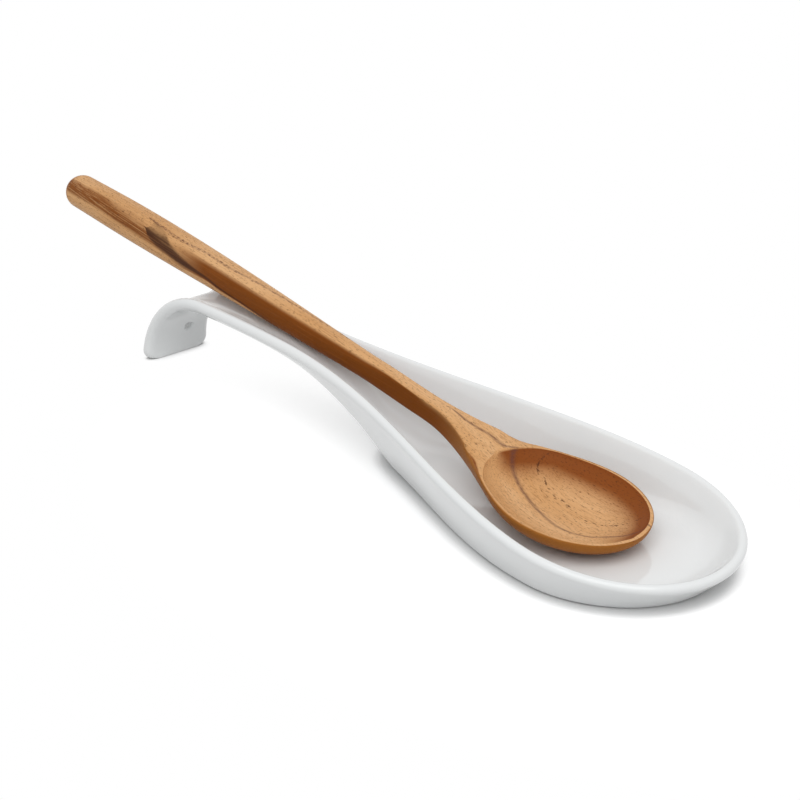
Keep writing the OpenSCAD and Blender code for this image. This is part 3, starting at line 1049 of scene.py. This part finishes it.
    def glaze_tree(self) -> bpy.types.NodeTree:
        """The tree that closes the surface, rounds it as the glaze does and bores the hanging hole.

        Returns:
            The tree.
        """
        tree = bpy.data.node_groups.new("glazed_rest", "GeometryNodeTree")
        bench = Bench(tree)
        given = input_sockets(tree, {
            "Skin": Socket.GEOMETRY, "Seam": Socket.NUMBER, "Rounding": Socket.COUNT,
            "Hole Diameter": Socket.NUMBER, "Hole Depth": Socket.NUMBER, "Hole Edge": Socket.NUMBER,
            "Hole Sides": Socket.COUNT, "Hole Rings": Socket.COUNT, "Hole Place": Socket.VECTOR,
            "Hole Turn": Socket.VECTOR, "Glaze": Socket.MATERIAL,
        }, {"Rest": Socket.GEOMETRY})
        closed = bench.get("GeometryNodeMergeByDistance", {
            "Geometry": given["Skin"], "Distance": given["Seam"]})
        rounded = bench.get("GeometryNodeSubdivisionSurface", {"Mesh": closed, "Level": given["Rounding"]})
        edge, radius = given["Hole Edge"], given["Hole Diameter"] / 2.0
        plug = bench.get("GeometryNodeMeshCylinder", {
            "Vertices": given["Hole Sides"], "Side Segments": given["Hole Rings"], "Radius": radius,
            "Depth": given["Hole Depth"] * 2.0})
        x, y, z = bench.parts(bench.get("GeometryNodeInputPosition"))
        past = unit((size_of(z) - given["Hole Depth"] / 2.0 + edge) / edge)
        swell = 1.0 + edge * (1.0 - root(1.0 - square(past))) / radius
        plug = bench.get("GeometryNodeSetPosition", {
            "Geometry": plug, "Position": bench.vector(x * swell, y * swell, z)})
        plug = bench.get("GeometryNodeTransform", {
            "Geometry": plug, "Translation": given["Hole Place"], "Rotation": given["Hole Turn"]})
        bored = bench.node("GeometryNodeMeshBoolean", {0: rounded}, operation="DIFFERENCE", solver="EXACT")
        join(plug, bored.inputs[1])
        bench.finish_mesh(Field(bored.outputs[0]), given["Glaze"], "Rest")
        return tree

    def build(self, glaze: Glaze) -> None:
        """Makes the rest.

        Args:
            glaze: its finish.
        """
        piece = make_mesh("porcelain_rest", *self.skin())
        turn = self.hole_axis.to_track_quat("Z", "Y").to_euler()
        shape_by_tree(piece, self.glaze_tree(), {
            "Seam": self.seam, "Rounding": ROUNDING, "Hole Diameter": self.hole_d, "Hole Depth": self.floor_t,
            "Hole Edge": self.hole_edge_r, "Hole Sides": self.hole_sides, "Hole Rings": self.hole_rings,
            "Hole Place": tuple(self.hole_at), "Hole Turn": tuple(turn), "Glaze": glaze.build(),
        })
        settle_piece(piece, Piece.REST)

    def glaze_z(self, x: np.ndarray, y: np.ndarray) -> np.ndarray:
        """Height of the glaze over points of the handle or the basin floor.

        Args:
            x: along the rest, at or behind the widest place.
            y: off its middle plane.

        Returns:
            The heights.
        """
        section = self.section_at(x)
        floor, lean = section.floor_z, section.lean
        foot, reach = section.fit(Face.INNER, floor, section.basin_r)
        past = np.abs(y) - foot + reach
        r = reach / np.tan(lean / 2)
        curved = floor + r - np.sqrt(np.maximum(0, r ** 2 - past ** 2))
        straight = floor + (np.abs(y) - foot) * np.tan(lean)
        return np.where(past <= 0, floor, np.where(past <= r * np.sin(lean), curved, straight))


@dataclass
class SpoonRule:
    """The rule of the spoon's form. Each size is a plain number, or an input of a node tree.

    U runs along the spoon from the middle of the bowl to the tip, V across and W up.
    """

    length: Value = 317 * MM
    bowl_w: Value = 48.4 * MM
    bowl_nose_l: Value = 32 * MM
    shoulder_l: Value = 65 * MM
    bowl_h: Value = 10.4 * MM
    hollow_d: Value = 7.4 * MM
    hollow_back: Value = 29.6 * MM
    lip_t: Value = 1.4 * MM
    neck_d: Value = 9 * MM
    neck_w: Value = 5.8 * MM
    butt_d: Value = 13.5 * MM
    neck_l: Value = 18 * MM
    flat_l: Value = 33 * MM
    flat_run: Value = 30 * MM
    grip_l: Value = 45 * MM
    handle_bow: Value = 6.8 * MM
    top_share: float = 0.94
    butt_full: float = 2.0
    grip_full: float = 2.5
    neck_full: float = 8.0
    neck_drop: float = 0.21
    side_full: float = 6.0
    shoulder_bias: float = 0.93
    shoulder_dip: float = 1.13
    keel_bias: float = 1.53
    keel_nose: float = 0.45
    bowl_full: float = 0.92
    hollow_full: float = 0.7
    hollow_egg: float = 0.06
    turn_share: float = 0.9
    snap: float = 0.000002

    def __post_init__(self) -> None:
        """Works out the sizes that follow from the others."""
        self.neck_r = self.neck_d / 2.0
        self.neck_half = self.neck_w / 2.0
        self.butt_r = self.butt_d / 2.0
        self.butt_u = self.bowl_nose_l - self.length
        self.half_w = self.bowl_w / 2.0
        hollow_front = self.bowl_nose_l - self.lip_t
        self.hollow_mid = (hollow_front - self.hollow_back) / 2.0
        self.hollow_r = (hollow_front + self.hollow_back) / 2.0
        self.wide_u = self.bowl_nose_l / 10.0
        self.grip_from = -self.shoulder_l - self.neck_l
        self.grip_to = self.butt_u + self.grip_l
        self.turn_from = self.shoulder_l * self.turn_share
        self.turn_to = self.bowl_nose_l / 2.0
        self.peak_run = self.shoulder_l / 8.0
        self.peak_from = -self.hollow_back - self.peak_run
        self.peak_half = self.lip_t / 2.0

    def nose_share(self, u: Value) -> Value:
        """How full the bowl still is, ahead of its widest place."""
        return most(0.0, 1.0 - square((u - self.wide_u) / (self.bowl_nose_l - self.wide_u)))

    def back_share(self, u: Value, bias: float) -> Value:
        """How full the bowl still is, behind its widest place."""
        q = power(most(0.0, (self.wide_u - u) / (self.shoulder_l + self.wide_u)), bias)
        return (1.0 + cosine(math.pi * least(1.0, q))) / 2.0

    def butt_round(self, u: Value) -> Value:
        """How full the rounded butt is."""
        return root(most(0.0, 1.0 - square(1.0 - unit((u - self.butt_u) / self.butt_r))))

    def grip_share(self, u: Value) -> Value:
        """How far the handle has grown from the neck to the butt."""
        return unit((self.grip_from - u) / (self.grip_from - self.grip_to))

    def grip_half(self, u: Value) -> Value:
        """Half width of the handle."""
        return mix(self.neck_half, self.butt_r, sine(QUARTER * self.grip_share(u))) * self.butt_round(u)

    def grip_r(self, u: Value) -> Value:
        """Half height of the handle."""
        return mix(self.neck_r, self.butt_r, ease(self.grip_share(u))) * self.butt_round(u)

    def half(self, u: Value) -> Value:
        """Half width in plan."""
        nose = self.half_w * root(self.nose_share(u))
        filled = power(self.back_share(u, self.shoulder_bias), self.shoulder_dip)
        bowl = choose(above(u, self.wide_u), nose, mix(self.neck_half, self.half_w, filled))
        return choose(above(u, -self.shoulder_l), bowl, self.grip_half(u))

    def bowl_share(self, u: Value) -> Value:
        """How far the section has turned from the handle's to the bowl's."""
        return ease((u + self.turn_from) / (self.turn_from - self.turn_to))

    def flat_share(self, u: Value) -> Value:
        """How flat the top is."""
        return ease((u + self.shoulder_l + self.flat_l) / self.flat_run)

    def grip_full_at(self, u: Value) -> Value:
        """How square the handle's section is, round at the butt."""
        return mix(self.butt_full, self.grip_full, ease((u - self.butt_u) / self.grip_l))

    def mid_w(self, u: Value) -> Value:
        """Level of the widest line of the section."""
        back = most(0.0, (-self.shoulder_l - u) / (self.length - self.shoulder_l))
        return -self.handle_bow * square(back)

    def crown(self, u: Value) -> Value:
        """Height of the top above the widest line."""
        return (1.0 - self.bowl_share(u)) * (1.0 - self.neck_drop * self.flat_share(u)) * self.grip_r(u)

    def keel(self, u: Value) -> Value:
        """Depth of the underside below the widest line."""
        nose = self.bowl_h * power(self.nose_share(u), self.keel_nose)
        back = mix(self.neck_r, self.bowl_h, self.back_share(u, self.keel_bias))
        bowl = choose(above(u, self.wide_u), nose, back)
        return choose(above(u, -self.shoulder_l), bowl, self.grip_r(u))

    def hollow_share(self, u: Value) -> Value:
        """How full the hollow is along the spoon."""
        return most(0.0, 1.0 - square((u - self.hollow_mid) / self.hollow_r))

    def inset(self, u: Value) -> Value:
        """Half width of the top inside the lip."""
        egg = 1.0 + self.hollow_egg * (u - self.hollow_mid) / self.hollow_r
        hollow = most(self.peak_half, (self.half_w - self.lip_t) * root(self.hollow_share(u)) * egg)
        behind = self.half(self.peak_from) * self.top_share
        peak = mix(behind, self.peak_half, unit((u - self.peak_from) / self.peak_run))
        return least(choose(above(u, -self.hollow_back), hollow, peak), self.half(u) * self.top_share)

    def across_share(self, u: Value, v: Value) -> Value:
        """How far out a place is, from 0 on the middle line to 1 at the edge."""
        return unit(size_of(v) / most(self.half(u), TINY))

    def dome(self, u: Value, v: Value) -> Value:
        """Height of the top above the widest line, with no hollow."""
        full = mix(self.grip_full_at(u), self.neck_full, self.flat_share(u))
        across = unit(self.across_share(u, v) + self.snap)
        return self.crown(u) * power(most(0.0, 1.0 - power(across, full)), 1.0 / full)

    def top_w(self, u: Value, v: Value) -> Value:
        """Height of the top at a place across it."""
        deep = self.hollow_d * power(self.hollow_share(u), self.hollow_full)
        dip = deep * power(most(0.0, 1.0 - square(v / self.inset(u))), self.hollow_full)
        return self.mid_w(u) + self.dome(u, v) - dip

    def keel_point(self, u: Value, turn: Value) -> tuple[Value, Value]:
        """A point of the underside.

        Args:
            u: along the spoon.
            turn: angle round the section, from half a turn to a whole one.

        Returns:
            Its place across and up.
        """
        share = self.bowl_share(u)
        side = 2.0 / mix(self.grip_full_at(u), self.side_full, self.flat_share(u))
        c, s = cosine(turn), most(0.0, size_of(sine(turn)) - self.snap)
        across = self.half(u) * sign_of(c) * power(size_of(c), mix(side, 1.0, share))
        return across, self.mid_w(u) - self.keel(u) * power(s, mix(side, self.bowl_full, share))


@dataclass
class CarvedSpoon:
    """The spoon, lying with its bowl on the floor of the basin and its handle in the trough."""

    rest: PorcelainRest
    bowl_back: float = 17 * MM
    bowl_off: float = -2 * MM
    handle_off: float = 3.6 * MM
    seat_gap: float = 0.3 * MM
    seam: float = 0.002 * MM
    rings: int = 180
    keel_steps: int = 30
    lip_steps: int = 3
    top_steps: int = 36
    seat_steps: int = 36
    settle_steps: int = 16
    steepest: float = math.radians(16)
    seat_turns: Triple = (210.0, 331.0, 10.0)

    def __post_init__(self) -> None:
        """Finds where the spoon lies."""
        self.rule = SpoonRule()
        self.yaw = -math.asin((self.handle_off - self.bowl_off) / (self.rest.bend_x - self.bowl_back))
        low, high = 0.0, self.steepest
        for _ in range(self.settle_steps):
            self.tip_to((low + high) / 2)
            if self.handle_gap() > self.seat_gap:
                high = self.pitch
            else:
                low = self.pitch
        self.tip_to((low + high) / 2)

    def tip_to(self, pitch: float) -> None:
        """Tips the handle up, with the bowl on the floor of the basin.

        Args:
            pitch: how far the handle is tipped up.
        """
        u = np.linspace(-self.rule.shoulder_l, self.rule.bowl_nose_l, self.seat_steps + 1)
        under = self.rule.mid_w(u) - self.rule.keel(u)
        lowest = np.min(under * math.cos(pitch) - u * math.sin(pitch))
        self.pitch = pitch
        self.seat = (-self.bowl_back, self.bowl_off, float(self.rest.floor_t + self.seat_gap - lowest))
        self.turn = (0.0, pitch, self.yaw)

    def axes(self) -> list[Vector]:
        """The spoon's own directions: along, across and up."""
        turn = Euler(self.turn).to_matrix()
        return [turn @ Vector(axis) for axis in ((1, 0, 0), (0, 1, 0), (0, 0, 1))]

    def place(self, point: tuple[Value, ...], turn: tuple[Value, ...],
              seat: tuple[Value, ...]) -> tuple[Value, Value, Value]:
        """Turns a point of the spoon into the rest's frame.

        Args:
            point: its U, V and W.
            turn: how the spoon is turned about X, which isn't used, Y and Z.
            seat: place of the spoon's origin.

        Returns:
            The point's X, Y and Z.
        """
        (u, v, w), (_, pitch, yaw) = point, turn
        ahead = u * cosine(pitch) + w * sine(pitch)
        return (
            ahead * cosine(yaw) - v * sine(yaw) + seat[0],
            ahead * sine(yaw) + v * cosine(yaw) + seat[1],
            seat[2] - u * sine(pitch) + w * cosine(pitch),
        )

    def handle_gap(self) -> float:
        """Least gap between the underside of the handle and the glaze."""
        u, turn = np.meshgrid(
            np.linspace(-self.rest.bend_x, -self.rest.climb_from, self.seat_steps + 1),
            np.radians(np.arange(*self.seat_turns)))
        x, y, z = self.place((u, *self.rule.keel_point(u, turn)), self.turn, self.seat)
        return float(np.min(z - self.rest.glaze_z(np.maximum(x, -self.rest.bend_x), y)))

    def carving_tree(self) -> bpy.types.NodeTree:
        """The tree that carves the spoon: rings along it by the rule, closed, rounded and put in place.

        Returns:
            The tree.
        """
        tree = bpy.data.node_groups.new("carved_spoon", "GeometryNodeTree")
        bench = Bench(tree)
        sizes = [item.name for item in fields(SpoonRule) if item.type is Value]
        given = input_sockets(tree, {
            **dict.fromkeys(sizes, Socket.NUMBER), "rings": Socket.COUNT, "rounding": Socket.COUNT,
            "seam": Socket.NUMBER, "turn": Socket.VECTOR, "seat": Socket.VECTOR, "wood": Socket.MATERIAL,
        }, {"Spoon": Socket.GEOMETRY})
        rule = SpoonRule(**{name: given[name] for name in sizes})
        steps = self.keel_steps + self.top_steps + 2 * self.lip_steps
        grid = bench.get("GeometryNodeMeshGrid", {
            "Size X": 1.0, "Size Y": 1.0, "Vertices X": given["rings"], "Vertices Y": steps + 1})
        x, y, _ = bench.parts(bench.get("GeometryNodeInputPosition"))
        u = mix(rule.butt_u, rule.bowl_nose_l, 0.5 - 0.5 * cosine((x + 0.5) * math.pi))
        v, w, edge = self.ring_point(rule, u, (y + 0.5) * float(steps))
        turn, seat = bench.parts(given["turn"]), bench.parts(given["seat"])
        marked = bench.get("GeometryNodeStoreNamedAttribute", {
            "Geometry": grid, "Name": EDGE, "Value": edge}, data_type="FLOAT", domain="POINT")
        carved = bench.get("GeometryNodeSetPosition", {
            "Geometry": marked, "Position": bench.vector(*self.place((u, v, w), turn, seat))})
        closed = bench.get("GeometryNodeMergeByDistance", {"Geometry": carved, "Distance": given["seam"]})
        rounded = bench.get("GeometryNodeSubdivisionSurface", {"Mesh": closed, "Level": given["rounding"]})
        bench.finish_mesh(rounded, given["wood"], "Spoon")
        return tree

    def ring_point(self, rule: SpoonRule, u: Field, step: Field) -> tuple[Field, Field, Field]:
        """A point of the ring round the spoon: the keel, a lip, the top and the other lip.

        Args:
            rule: the spoon's form.
            u: along the spoon.
            step: how far round, in steps from the left lip under the keel.

        Returns:
            Its place across and up, and how near the edge of the top it is: 0 on the middle line, 1 at the
            edge and all over the underside.
        """
        keel_end = float(self.keel_steps)
        top_start = keel_end + self.lip_steps
        top_end = top_start + self.top_steps
        keel_v, keel_w = rule.keel_point(u, math.pi + math.pi * least(step, keel_end) / keel_end)
        half, inset = rule.half(u), rule.inset(u)
        near_lip = mix(half, inset, unit((step - keel_end) / float(self.lip_steps)))
        top = inset * cosine(math.pi * unit((step - top_start) / float(self.top_steps)))
        far_lip = -mix(inset, half, unit((step - top_end) / float(self.lip_steps)))
        slack = 0.5
        top_v = choose(above(step, top_end + slack), far_lip, top)
        top_v = choose(above(step, top_start + slack), top_v, near_lip)
        on_top = above(step, keel_end + slack)
        edge = choose(on_top, rule.across_share(u, top_v), 1.0)
        return choose(on_top, top_v, keel_v), choose(on_top, rule.top_w(u, top_v), keel_w), edge

    def build(self, wood: OiledWood) -> None:
        """Makes the spoon.

        Args:
            wood: its finish.
        """
        piece = make_mesh("wooden_spoon", [], [])
        sizes = {item.name: float(getattr(self.rule, item.name)) for item in fields(SpoonRule)}
        shape_by_tree(piece, self.carving_tree(), {
            **sizes, "rings": self.rings, "rounding": ROUNDING, "seam": self.seam, "turn": self.turn,
            "seat": self.seat, "wood": wood.build(self),
        })
        settle_piece(piece, Piece.SPOON)


@dataclass
class Studio:
    """The table, the soft light and the camera at the picture's angle."""

    table_w: float = 6.0
    camera_at: Triple = (0.4009, -0.4476, 0.3135)
    camera_aim: Triple = (-0.1323, 0.0325, 0.0)
    focal_px: float = 2142.0
    picture_px: float = 800.0
    sensor_w: float = 36.0
    dome: float = 0.54
    softbox_at: Triple = (0.42, -0.47, 1.07)
    softbox_w: float = 1.2
    softbox_power: float = 8.6

    def put(self, name: str, data: bpy.types.ID, at: Triple) -> bpy.types.Object:
        """Puts a lamp or a camera in the scene, turned to the object.

        Args:
            name: its name.
            data: the lamp or the camera.
            at: its place.

        Returns:
            Its object.
        """
        held = bpy.data.objects.new(name, data)
        bpy.context.scene.collection.objects.link(held)
        held.location = at
        held.rotation_euler = (Vector(self.camera_aim) - held.location).to_track_quat("-Z", "Y").to_euler()
        return held

    def build_table(self, paper: TablePaper) -> None:
        """Makes the table.

        Args:
            paper: its finish.
        """
        half = self.table_w / 2
        corners = [(-half, -half, 0), (half, -half, 0), (half, half, 0), (-half, half, 0)]
        table = make_mesh("table", corners, [(0, 1, 2, 3)])
        table.data.materials.append(paper.build())

    def build_world(self) -> None:
        """Makes the white surroundings, dimmer as light than as they are seen."""
        world = bpy.data.worlds.new("white_room")
        bpy.context.scene.world = world
        world.use_nodes = True
        bench = Bench(world.node_tree)
        strength = mix(self.dome, 1.0, seen_share(bench))
        shader = bench.get("ShaderNodeBackground", {"Color": rgba(WHITE), "Strength": strength})
        bench.node("ShaderNodeOutputWorld", {"Surface": shader})

    def build_softbox(self) -> None:
        """Makes the soft light above the object, a little to the camera's side."""
        lamp = bpy.data.lights.new("softbox", "AREA")
        lamp.size = self.softbox_w
        lamp.energy = self.softbox_power
        self.put("softbox", lamp, self.softbox_at)

    def build_camera(self) -> None:
        """Makes the camera at the picture's angle."""
        lens = bpy.data.cameras.new("camera")
        lens.sensor_width = self.sensor_w
        lens.lens = self.focal_px / self.picture_px * self.sensor_w
        bpy.context.scene.camera = self.put("camera", lens, self.camera_at)

    def build(self, paper: TablePaper) -> None:
        """Makes the whole studio.

        Args:
            paper: the table's finish.
        """
        self.build_camera()
        self.build_table(paper)
        self.build_world()
        self.build_softbox()
        bpy.context.scene.view_settings.view_transform = "Standard"


def main() -> None:
    """Builds the studio and the two pieces in order."""
    logging.basicConfig(level=logging.INFO, format="%(name)s: %(message)s")
    Studio().build(TablePaper())
    rest = PorcelainRest.from_frame()
    rest.build(Glaze())
    spoon = CarvedSpoon(rest)
    log.info("spoon lies at pitch %.3f deg, lift %.3f mm", math.degrees(spoon.pitch), spoon.seat[2] / MM)
    spoon.build(OiledWood())


if __name__ == "__main__":
    main()
